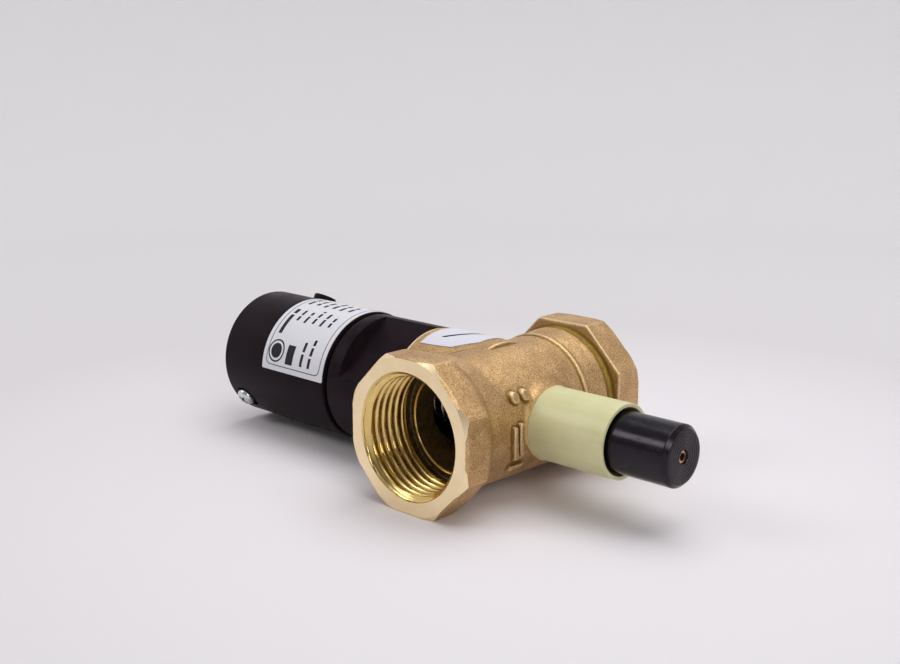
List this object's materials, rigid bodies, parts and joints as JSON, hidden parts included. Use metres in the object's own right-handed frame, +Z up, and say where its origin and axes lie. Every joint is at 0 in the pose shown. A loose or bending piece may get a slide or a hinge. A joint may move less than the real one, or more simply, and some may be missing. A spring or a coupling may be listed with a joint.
{
  "type": "manual-reset solenoid shut-off valve",
  "caption": "Cast brass cross-body pipe valve with two coaxial threaded octagonal ports, a black coil housing on one arm and a sleeved push reset knob on the other.",
  "frame": {"origin": "where the pipe axis crosses the actuator axis", "axes": "+Y along the pipe, out of the rear port; +X along the actuator, towards the reset knob; +Z up, with the octagon flats horizontal"},
  "size_m": [0.155, 0.0698, 0.0402],
  "materials": {
    "cast_brass": "rough as-cast surface, machined at the ports",
    "turned_brass": "turned",
    "black_plastic": "turned satin",
    "knob_plastic": "turned, slightly glossy",
    "sleeve_plastic": "moulded, matt",
    "label": "printed film",
    "terminal_plastic": "moulded",
    "rubber": "moulded",
    "zinc": "zinc plated",
    "iron": "turned soft iron",
    "stainless": "turned stainless steel",
    "copper": "copper coloured"
  },
  "bodies": {
    "valve": {"valve_body": "cast_brass", "adapter": "black_plastic", "adapter_seal": "rubber", "coil_housing": "black_plastic", "end_cover": "black_plastic", "cover_seal": "rubber", "cover_screws": "zinc", "entry_plug": "black_plastic", "terminal_block": "terminal_plastic", "terminal_screws": "zinc", "coil_leads": "copper", "coil_bobbin": "terminal_plastic", "coil_winding": "copper", "yoke_tube": "iron", "yoke_washers": "iron", "guide_tube": "stainless", "fixed_pole": "iron", "rating_label": "label", "marking_sticker": "label", "guard_sleeve": "sleeve_plastic", "guide_bush": "turned_brass", "stem_seals": "rubber", "bush_seal": "rubber", "closing_spring": "stainless"},
    "reset_stem": {"reset_knob": "knob_plastic", "knob_screw": "copper", "stem": "stainless", "retaining_ring": "stainless", "poppet_plate": "turned_brass", "poppet_seal": "rubber", "clamp_washer": "turned_brass", "clamp_nut": "turned_brass", "armature": "iron"}
  },
  "joints": [
    {"name": "reset_push", "type": "slide", "parent": "valve", "child": "reset_stem", "axis": [1, 0, 0], "range_m": [-0.008, 0], "stiffness_N_per_m": 250, "springref_m": 0.01, "deforming": ["closing_spring"]}
  ]
}
